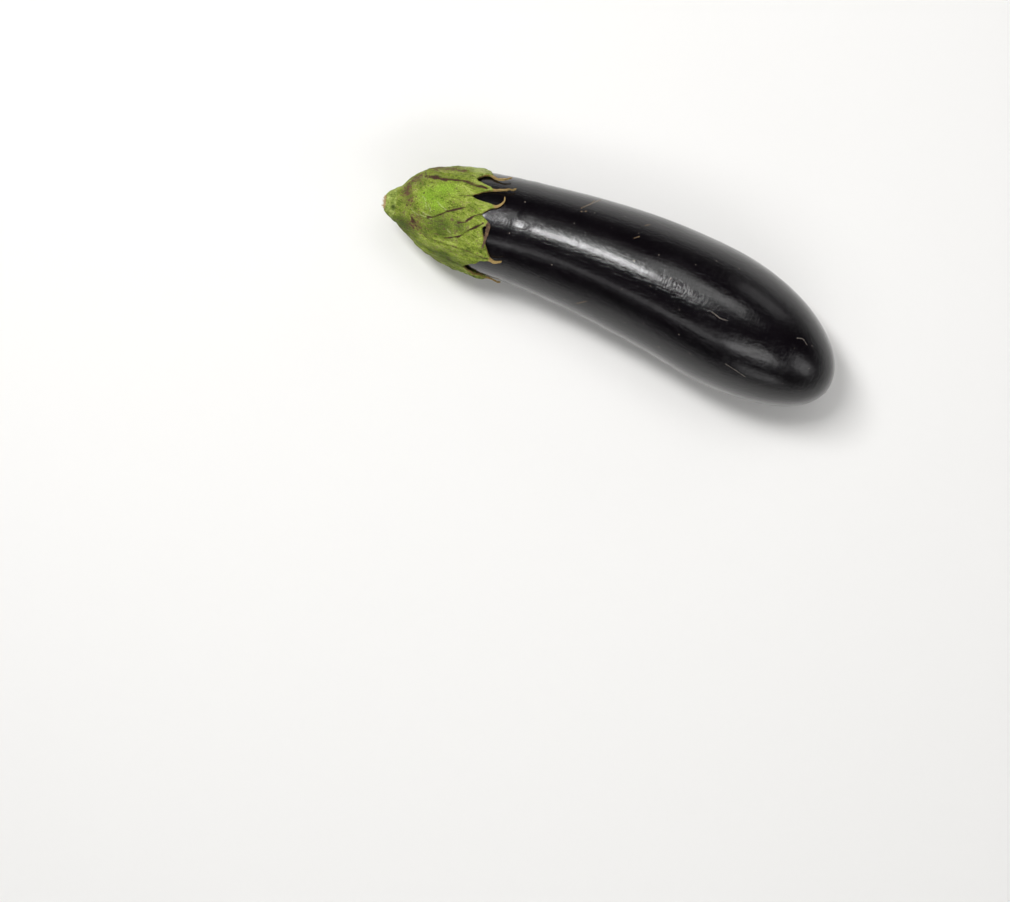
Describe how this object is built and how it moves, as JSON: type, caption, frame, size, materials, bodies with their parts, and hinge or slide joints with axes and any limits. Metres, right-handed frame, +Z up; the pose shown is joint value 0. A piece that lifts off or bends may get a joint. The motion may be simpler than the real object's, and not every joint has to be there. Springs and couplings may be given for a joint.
{
  "type": "eggplant",
  "caption": "Long club-shaped eggplant as picked, gently bowed, with glossy dark skin, a green lobed calyx and a short cut stalk, lying on its side.",
  "frame": {"origin": "on the resting surface, under the middle of the object's bounding box", "axes": "+X from the stalk's cut end to the blossom end, +Y towards the side the fruit bows to, +Z up off the resting surface"},
  "size_m": [0.1934, 0.0552, 0.0527],
  "materials": {
    "skin": "waxy gloss, near-black purple",
    "calyx": "matte, leathery, yellow-green",
    "stalk": "matte, fibrous, pale green"
  },
  "bodies": {
    "root": {"fruit": "skin", "calyx": "calyx", "stalk": "stalk"}
  },
  "joints": []
}
